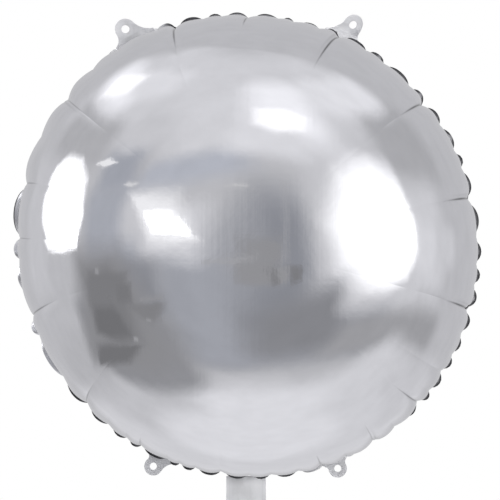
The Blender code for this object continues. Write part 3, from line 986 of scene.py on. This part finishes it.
def ear_outline(place, edge):
    """The ear's outline, x clockwise along the rim and y out from the middle: a head on two hollow flanks."""
    _, hole_at, head, _, clockwise, anticlockwise, _ = place
    right, right_rise = ear_flank(edge, hole_at, head, clockwise)
    left, left_rise = ear_flank(edge, hole_at, head, anticlockwise)
    left = [(-x, y) for x, y in reversed(left)]
    crown = arc((0, hole_at), head, right_rise, math.pi - left_rise, 40)
    first, last = math.atan2(left[-1][0], left[-1][1]), math.atan2(right[0][0], right[0][1])
    root = edge - EAR_ROOT
    base = [(root * math.sin(turn), root * math.cos(turn)) for turn in np.linspace(first, last, 30)]
    return base + right + crown[1:-1] + left


def share_of_root(above):
    """How much of the gathers an ear has at a distance above the weld's edge."""
    return float(smooth((above + 0.0035) / 0.004))


def build_ear(name, place):
    """A flat ear of double film with its round hole, its head turned and its root gathered."""
    angle, hole_at, head, hole, _, _, twist = place
    merged = max(float(within(angle, stretch, 4)) for stretch in PLAIN_RIM)
    edge = SEAM_RADIUS * float(oval(angle)) + EAR_EDGE
    outline = ear_outline(place, edge)
    ring = arc((0, hole_at), hole, 0, 2 * math.pi, 40)[:-1]
    low = min(y for _, y in outline)
    wide = max(abs(x) for x, _ in outline)
    tall, half = int((hole_at + head - low) / EAR_STEP), int(wide / EAR_STEP)
    inside = [
        (column * EAR_STEP, low + row * EAR_STEP)
        for row in range(1, tall + 1) for column in range(-half, half + 1)
    ]

    def margin(x, y):
        """Distance of a point to the outline or the hole's edge."""
        return min(math.hypot(x - u, y - v) for u, v in outline + ring)

    inside = [point for point in inside if margin(*point) > EAR_STEP * 0.6]
    corners = [Vector(point) for point in outline + ring + inside]
    first, second = len(outline), len(ring)
    edges = [(i, (i + 1) % first) for i in range(first)]
    edges += [(first + i, first + (i + 1) % second) for i in range(second)]
    flat, _, triangles, *_ = delaunay_2d_cdt(corners, edges, [], 1, 1e-7)
    centre = Vector((0, hole_at))
    triangles = [
        face for face in triangles
        if (sum((flat[corner] for corner in face), Vector((0, 0))) / 3 - centre).length > hole * 0.98
    ]
    used = sorted({corner for face in triangles for corner in face})
    number = {corner: place for place, corner in enumerate(used)}
    triangles = [tuple(number[corner] for corner in face) for face in triangles]
    turn = math.radians(angle)
    out, along = Vector((math.cos(turn), 0, math.sin(turn))), Vector((math.sin(turn), 0, -math.cos(turn)))
    points, valley, crease = [], [], []
    for x, y in (flat[corner] for corner in used):
        above = y - edge
        share = float(smooth((above - 0.003) / 0.010))
        swing = math.radians(twist) * share
        gather = 0.00012 * math.sin(x * 2 * math.pi / 0.0105 + 0.6) * math.exp(-abs(above - 0.004) / 0.005)
        behind = 0.0017 + 0.0009 * float(smooth((above + 0.0028) / 0.005)) * (1 - 0.5 * share)
        curl = 0.0012 * share * share
        spot = out * y + along * x * math.cos(swing)
        spot.y += behind * (1 - merged) - 0.00036 * merged
        spot.y += x * math.sin(swing) + gather * share_of_root(above) + curl * (1 if angle < 180 else -1)
        points.append(spot)
        # Painted shade in the valley where the ear's root meets the panel: full at an upper ear that the weld
        # holds flat, weaker at the others, none at a lower one held flat
        past = max(above - 0.0026, 0) / 0.0006
        strength = 1.0 if angle < 180 and merged else 0.3 * (1 - merged)
        valley.append(math.exp(-past - (x / 0.006) ** 2) * strength)
        rim = min(abs(math.hypot(x, y - hole_at) - hole - 0.0011), 0.01)
        crease.append(math.exp(-(rim / 0.00025) ** 2) * 0.2)
    ear = mesh_object(name + "_film", points, triangles, {"from_seam": valley, "crease": crease})
    thicken(ear, EAR_FILM)
    return ear


def tail_top():
    """The height of the tail's upper end, behind the rim."""
    return -(SEAM_RADIUS * float(oval(TAIL_ANGLE)) + TAIL_START)


def tail_level(x, z):
    """How far back the tail's middle layer lies: behind the weld at its top, and hanging free below."""
    down = tail_top() - z
    return 0.00050 + 0.0018 * math.exp(-(down / 0.008) ** 2) + 0.0115 * math.sin(down * 54 + x * 20) * down


def build_tail_film(name, side):
    """One film of the tail: flat welded sides, a slack middle, gathered where it leaves the rim."""
    wide = TAIL_HIGH.x - TAIL_LOW.x
    middle = (TAIL_HIGH.x + TAIL_LOW.x) / 2
    top, bottom = tail_top(), TAIL_LOW.z
    columns, rows = 49, 70
    points, valley, crease = [], [], []
    for row in range(rows):
        down = row / (rows - 1)
        z = top + (bottom - top) * down
        for column in range(columns):
            across = column / (columns - 1) * 2 - 1
            x = across * wide / 2
            from_side = (1 - abs(across)) * wide / 2
            slack = smooth((from_side - TAIL_WELD) / 0.008)
            open_by = 0.00020 + (0.0002 + 0.0011 * float(smooth((down - 0.3) / 0.7))) * slack
            gather = 0.00005 * math.sin(x * 2 * math.pi / 0.0112 + 0.8) * math.exp(-down / 0.2) * slack
            buckle = 0.00018 * math.sin(down * 21 + across * 2.5) * slack * side
            points.append((middle + x, tail_level(x, z) + side * open_by + gather + buckle * 0.5, z))
            # Painted shade at the tail's root, fading within a few millimetres below the rim
            valley.append(math.exp(-down * TAIL_LENGTH / 0.003))
            crease.append(0.35 * math.exp(-((from_side - TAIL_WELD) / 0.0003) ** 2))
    faces = grid_faces(rows, columns)
    if side == BACK:
        faces = [face[::-1] for face in faces]
    film = mesh_object(name, points, faces, {"from_seam": valley, "crease": crease})
    thicken(film, TAIL_FILM)
    return film


def build_valve():
    """The milky valve film between the tail's two films."""
    low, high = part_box("valve_film")
    middle = (low.x + high.x) / 2
    columns, rows = 17, 50
    points = []
    for row in range(rows):
        down = row / (rows - 1)
        for column in range(columns):
            across = column / (columns - 1) * 2 - 1
            x = across * (high.x - low.x) / 2
            z = high.z + (low.z - high.z) * down
            slack = float(smooth((down - 0.3) / 0.5))
            ripple = 0.00012 * math.sin(across * 5 + down * 9) * slack
            points.append((middle + x, tail_level(x, z) + ripple, z))
    film = mesh_object("valve_sleeve", points, grid_faces(rows, columns))
    thicken(film, VALVE_FILM)
    return film


def direction(azimuth, elevation):
    """A unit vector: azimuth 0 points at the camera and 90 to the right, elevation is up."""
    turn, lift = math.radians(azimuth), math.radians(elevation)
    return Vector((math.sin(turn) * math.cos(lift), -math.cos(turn) * math.cos(lift), math.sin(lift)))


def room_colour(grey, cool=0.0):
    """The colour in the room that the foil shows as that grey, from 0 to 255."""
    level = (grey / 255) ** 2.2 / 0.8
    return level * (1 - 0.04 * cool), level, level * (1.02 + 0.08 * cool)


def vector_node(tree, operation, first, second=None):
    """A vector maths node on a socket and a value, and its output."""
    node = tree.nodes.new("ShaderNodeVectorMath")
    node.operation = operation
    tree.links.new(first, node.inputs[0])
    if second is not None:
        node.inputs[1].default_value = second
    return node.outputs["Value" if operation == "LENGTH" else "Vector"]


def lay_patches(tree, spot, grey, rows):
    """A grey with soft-edged patches over it, at a socket's azimuth and elevation, as a colour's output."""
    colour = room_colour(grey)
    for azimuth, elevation, wide, high, soft_wide, soft_high, grey, cool in rows:
        away = vector_node(tree, "SUBTRACT", spot, (azimuth, elevation, 0))
        past = vector_node(tree, "SUBTRACT", vector_node(tree, "ABSOLUTE", away), (wide, high, 0))
        outside = vector_node(tree, "MAXIMUM", past, (0, 0, 0))
        length = vector_node(tree, "LENGTH", vector_node(tree, "DIVIDE", outside, (soft_wide, soft_high, 1)))
        cover = ramp_node(tree, length, 0.0, 1.0, 1.0, 0.0)
        colour = mix_colours(tree, cover, colour, room_colour(grey, cool))
    return colour


def floor_edge(tree, azimuth):
    """The elevation of the floor's far edge at an azimuth, as an output, from a curve."""
    node = tree.nodes.new("ShaderNodeFloatCurve")
    share = math_node(tree, "ADD", math_node(tree, "DIVIDE", azimuth, 360.0), 0.5)
    tree.links.new(share, node.inputs["Value"])
    points = node.mapping.curves[0].points
    while len(points) < len(FLOOR_EDGE):
        points.new(0.5, 0.5)
    for point, (at_azimuth, at_elevation) in zip(points, FLOOR_EDGE):
        point.location = (at_azimuth / 360 + 0.5, at_elevation / 90 + 1)
    node.mapping.update()
    return math_node(tree, "MULTIPLY", math_node(tree, "SUBTRACT", node.outputs[0], 1.0), 90.0)


def build_world():
    """White to the camera, and to the foil a pale room with a darker side where the camera stands."""
    world = bpy.data.worlds.new("studio")
    bpy.context.scene.world = world
    world.use_nodes = True
    tree = world.node_tree
    tree.nodes.clear()
    place = tree.nodes.new("ShaderNodeTexCoord").outputs["Generated"]
    split = tree.nodes.new("ShaderNodeSeparateXYZ")
    tree.links.new(place, split.inputs[0])
    toward = math_node(tree, "MULTIPLY", split.outputs["Y"], -1.0)
    azimuth = math_node(tree, "ARCTAN2", split.outputs["X"], toward)
    elevation = math_node(tree, "ARCSINE", split.outputs["Z"])
    azimuth, elevation = math_node(tree, "DEGREES", azimuth), math_node(tree, "DEGREES", elevation)
    spot = add_node(tree, "ShaderNodeCombineXYZ", X=azimuth, Y=elevation)
    walls = lay_patches(tree, spot.outputs[0], ROOM_WALLS, ROOM)
    floor = lay_patches(tree, spot.outputs[0], ROOM_FLOOR, FLOOR)
    below = math_node(tree, "SUBTRACT", floor_edge(tree, azimuth), elevation)
    on_floor = ramp_node(tree, below, -FLOOR_EDGE_SOFT / 2, FLOOR_EDGE_SOFT / 2)
    colour = mix_colours(tree, on_floor, walls, floor)
    mottle = add_node(tree, "ShaderNodeTexNoise", Vector=place, Scale=9.0, Detail=6.0, Roughness=0.6)
    level = add_node(
        tree, "ShaderNodeMapRange", Value=mottle.outputs["Fac"],
        From_Min=0.3, From_Max=0.7, To_Min=0.965, To_Max=1.035,
    )
    room = add_node(tree, "ShaderNodeBackground", Color=colour, Strength=level.outputs["Result"])
    white = add_node(tree, "ShaderNodeBackground", Color=(1, 1, 1, 1))
    seen = tree.nodes.new("ShaderNodeLightPath")
    choose = tree.nodes.new("ShaderNodeMixShader")
    tree.links.new(seen.outputs["Is Camera Ray"], choose.inputs[0])
    tree.links.new(room.outputs[0], choose.inputs[1])
    tree.links.new(white.outputs[0], choose.inputs[2])
    add_node(tree, "ShaderNodeOutputWorld", Surface=choose.outputs[0])


def widened(corners):
    """A card's corners moved out by their softness, square to the edges that meet there."""
    squeeze = math.cos(math.radians(sum(corner[1] for corner in corners) / len(corners)))
    flat = [Vector((azimuth * squeeze, elevation)) for azimuth, elevation, _ in corners]
    area = sum(flat[place - 1].cross(flat[place]) for place in range(len(flat)))
    side = 1 if area > 0 else -1
    moved = []
    for place, spot in enumerate(flat):
        edges = (spot - flat[place - 1]).normalized(), (flat[(place + 1) % len(flat)] - spot).normalized()
        out = [Vector((edge.y, -edge.x)) * side for edge in edges]
        lean = (out[0] + out[1]).normalized()
        reach = corners[place][2] / max(0.6, lean.dot(out[0]))
        moved.append(((spot.x + lean.x * reach) / squeeze, spot.y + lean.y * reach))
    return moved


def build_card(name, colour, strength, corners, distance):
    """A glowing card with soft edges, on a far sphere round the balloon, that the camera doesn't see."""
    count = len(corners)
    inner = [direction(azimuth, elevation) * distance for azimuth, elevation, _ in corners]
    outer = [direction(*corner) * distance for corner in widened(corners)]
    faces = [tuple(range(count))] + ring_faces(2, count, False)
    card = mesh_object(name, inner + outer, faces, {"glow": [1.0] * count + [0.0] * count})
    material = bpy.data.materials.new(name + "_glow")
    material.use_nodes = True
    tree = material.node_tree
    tree.nodes.clear()
    glow = mark_value(tree, "glow")
    level = ramp_node(tree, glow, 0.97, 1.0, min(strength, EDGE_GLOW), strength)
    light = add_node(tree, "ShaderNodeEmission", Color=(*colour, 1.0), Strength=level)
    choose = tree.nodes.new("ShaderNodeMixShader")
    tree.links.new(ramp_node(tree, glow, 0.0, 1.0), choose.inputs[0])
    tree.links.new(tree.nodes.new("ShaderNodeBsdfTransparent").outputs[0], choose.inputs[1])
    tree.links.new(light.outputs[0], choose.inputs[2])
    add_node(tree, "ShaderNodeOutputMaterial", Surface=choose.outputs[0])
    card.data.materials.append(material)
    card.visible_camera = False
    card.visible_shadow = False


def build_floor(studio):
    """A pale round floor below the balloon; the film mirrors the floor that the room has."""
    mesh = bmesh.new()
    bmesh.ops.create_circle(mesh, cap_ends=True, segments=96, radius=studio.floor_radius)
    data = bpy.data.meshes.new("floor")
    mesh.to_mesh(data)
    mesh.free()
    floor = bpy.data.objects.new("floor", data)
    bpy.context.scene.collection.objects.link(floor)
    floor.location = (0, 0, -studio.floor_depth)
    material, shader = new_material("pale_floor", 0.6, 0.0)
    tree = material.node_tree
    speckle = add_node(tree, "ShaderNodeTexNoise", Scale=14.0, Detail=4.0)
    tone = mix_colours(tree, speckle.outputs["Fac"], (0.83, 0.83, 0.84), (0.87, 0.87, 0.88))
    tree.links.new(tone, shader.inputs["Base Color"])
    place = tree.nodes.new("ShaderNodeTexCoord")
    far = add_node(tree, "ShaderNodeVectorMath", operation="LENGTH")
    tree.links.new(place.outputs["Object"], far.inputs[0])
    fade = ramp_node(tree, far.outputs["Value"], 0.1 * studio.floor_radius, studio.floor_radius, 1.0, 0.0)
    tree.links.new(fade, shader.inputs["Alpha"])
    data.materials.append(material)
    floor.visible_glossy = False


def build_camera(studio):
    """The camera, level with the balloon's middle and straight in front."""
    data = bpy.data.cameras.new("camera")
    data.lens = studio.lens
    data.sensor_width = 36.0
    camera = bpy.data.objects.new("camera", data)
    bpy.context.scene.collection.objects.link(camera)
    camera.location = (0.00264, -studio.camera_distance, -0.00529)
    camera.rotation_euler = (math.pi / 2, 0, 0)
    bpy.context.scene.camera = camera


class BALLOON_OT_panels(Operator):
    """Build the two panels of puckered film"""

    bl_idname = "balloon.panels"
    bl_label = "Film Panels"

    def execute(self, context):
        """Builds both panels."""
        film, finish = context.scene.balloon_film, context.scene.balloon_finish
        foil = panel_foil(finish)
        dress(build_panel("front_film", FRONT, film), foil, "panel_foil", "front_panel")
        dress(build_panel("back_film", BACK, film), foil, "panel_foil", "back_panel")
        return {"FINISHED"}


class BALLOON_OT_weld(Operator):
    """Build the welded rim"""

    bl_idname = "balloon.weld"
    bl_label = "Welded Rim"

    def execute(self, context):
        """Builds the ribbon."""
        ribbon = build_weld(context.scene.balloon_film)
        dress(ribbon, weld_foil(context.scene.balloon_finish), "weld_foil", "rim_weld")
        return {"FINISHED"}


class BALLOON_OT_ears(Operator):
    """Build the four hanging ears"""

    bl_idname = "balloon.ears"
    bl_label = "Hanging Ears"

    def execute(self, context):
        """Builds each ear."""
        foil = satin_foil("ear_foil", tuple(context.scene.balloon_finish.ear_colour), 0.6, 0.5)
        for name, place in EARS.items():
            dress(build_ear(name, place), foil, "weld_foil", name, mirrored=False)
        return {"FINISHED"}


class BALLOON_OT_tail(Operator):
    """Build the filling tail and its valve"""

    bl_idname = "balloon.tail"
    bl_label = "Filling Tail"

    def execute(self, context):
        """Builds the tail's films and the valve's film."""
        finish = context.scene.balloon_finish
        foil = satin_foil("tail_foil", tuple(finish.tail_colour), 0.5, 0.2)
        for node, side in (("tail_front", FRONT), ("tail_back", BACK)):
            dress(build_tail_film(node + "_film", side), foil, "weld_foil", node, mirrored=False)
        dress(build_valve(), valve_plastic(finish), "valve_plastic", "valve_film", mirrored=False)
        return {"FINISHED"}


class BALLOON_OT_studio(Operator):
    """Build the floor, the lights and the camera"""

    bl_idname = "balloon.studio"
    bl_label = "Studio"

    def execute(self, context):
        """Builds the stage."""
        studio = context.scene.balloon_studio
        build_world()
        build_floor(studio)
        for place, (name, share, corners) in enumerate(LIGHTS):
            far = studio.light_distance * (1 - 0.02 * place)
            build_card(name, (1, 1, 1), studio.key_strength * share, corners, far)
        for place, (name, grey, soft, corners) in enumerate(SHAPES):
            cornered = [(*corner, soft) for corner in corners]
            far = studio.light_distance * (1.95 - 0.35 * (place > 0) - 0.022 * place)
            build_card(name, room_colour(grey), 1.0, cornered, far)
        build_camera(studio)
        context.scene.view_settings.view_transform = "Standard"
        return {"FINISHED"}


class BALLOON_PT_build(Panel):
    """The balloon's panel in the sidebar"""

    bl_label = "Round Foil Balloon"
    bl_idname = "BALLOON_PT_build"
    bl_space_type = "VIEW_3D"
    bl_region_type = "UI"
    bl_category = "Balloon"

    def draw(self, context):
        """Lists the operators and the settings."""
        for operator in OPERATORS:
            self.layout.operator(operator.bl_idname)
        for group in (context.scene.balloon_film, context.scene.balloon_finish, context.scene.balloon_studio):
            box = self.layout.box()
            for name in group.__annotations__:
                box.prop(group, name)


SETTINGS = {
    "balloon_film": BalloonFilmSettings,
    "balloon_finish": BalloonFinishSettings,
    "balloon_studio": BalloonStudioSettings,
}
OPERATORS = (BALLOON_OT_panels, BALLOON_OT_weld, BALLOON_OT_ears, BALLOON_OT_tail, BALLOON_OT_studio)


def register():
    """Registers the settings, operators and panel."""
    for kind in (*SETTINGS.values(), *OPERATORS, BALLOON_PT_build):
        bpy.utils.register_class(kind)
    for name, kind in SETTINGS.items():
        setattr(bpy.types.Scene, name, PointerProperty(type=kind))


def unregister():
    """Takes them out again."""
    for name in SETTINGS:
        delattr(bpy.types.Scene, name)
    for kind in (BALLOON_PT_build, *reversed(OPERATORS), *SETTINGS.values()):
        bpy.utils.unregister_class(kind)


def main():
    """Builds everything."""
    register()
    bpy.ops.balloon.studio()
    bpy.ops.balloon.panels()
    bpy.ops.balloon.weld()
    bpy.ops.balloon.ears()
    bpy.ops.balloon.tail()
    bpy.context.view_layer.update()


if __name__ == "__main__":
    main()
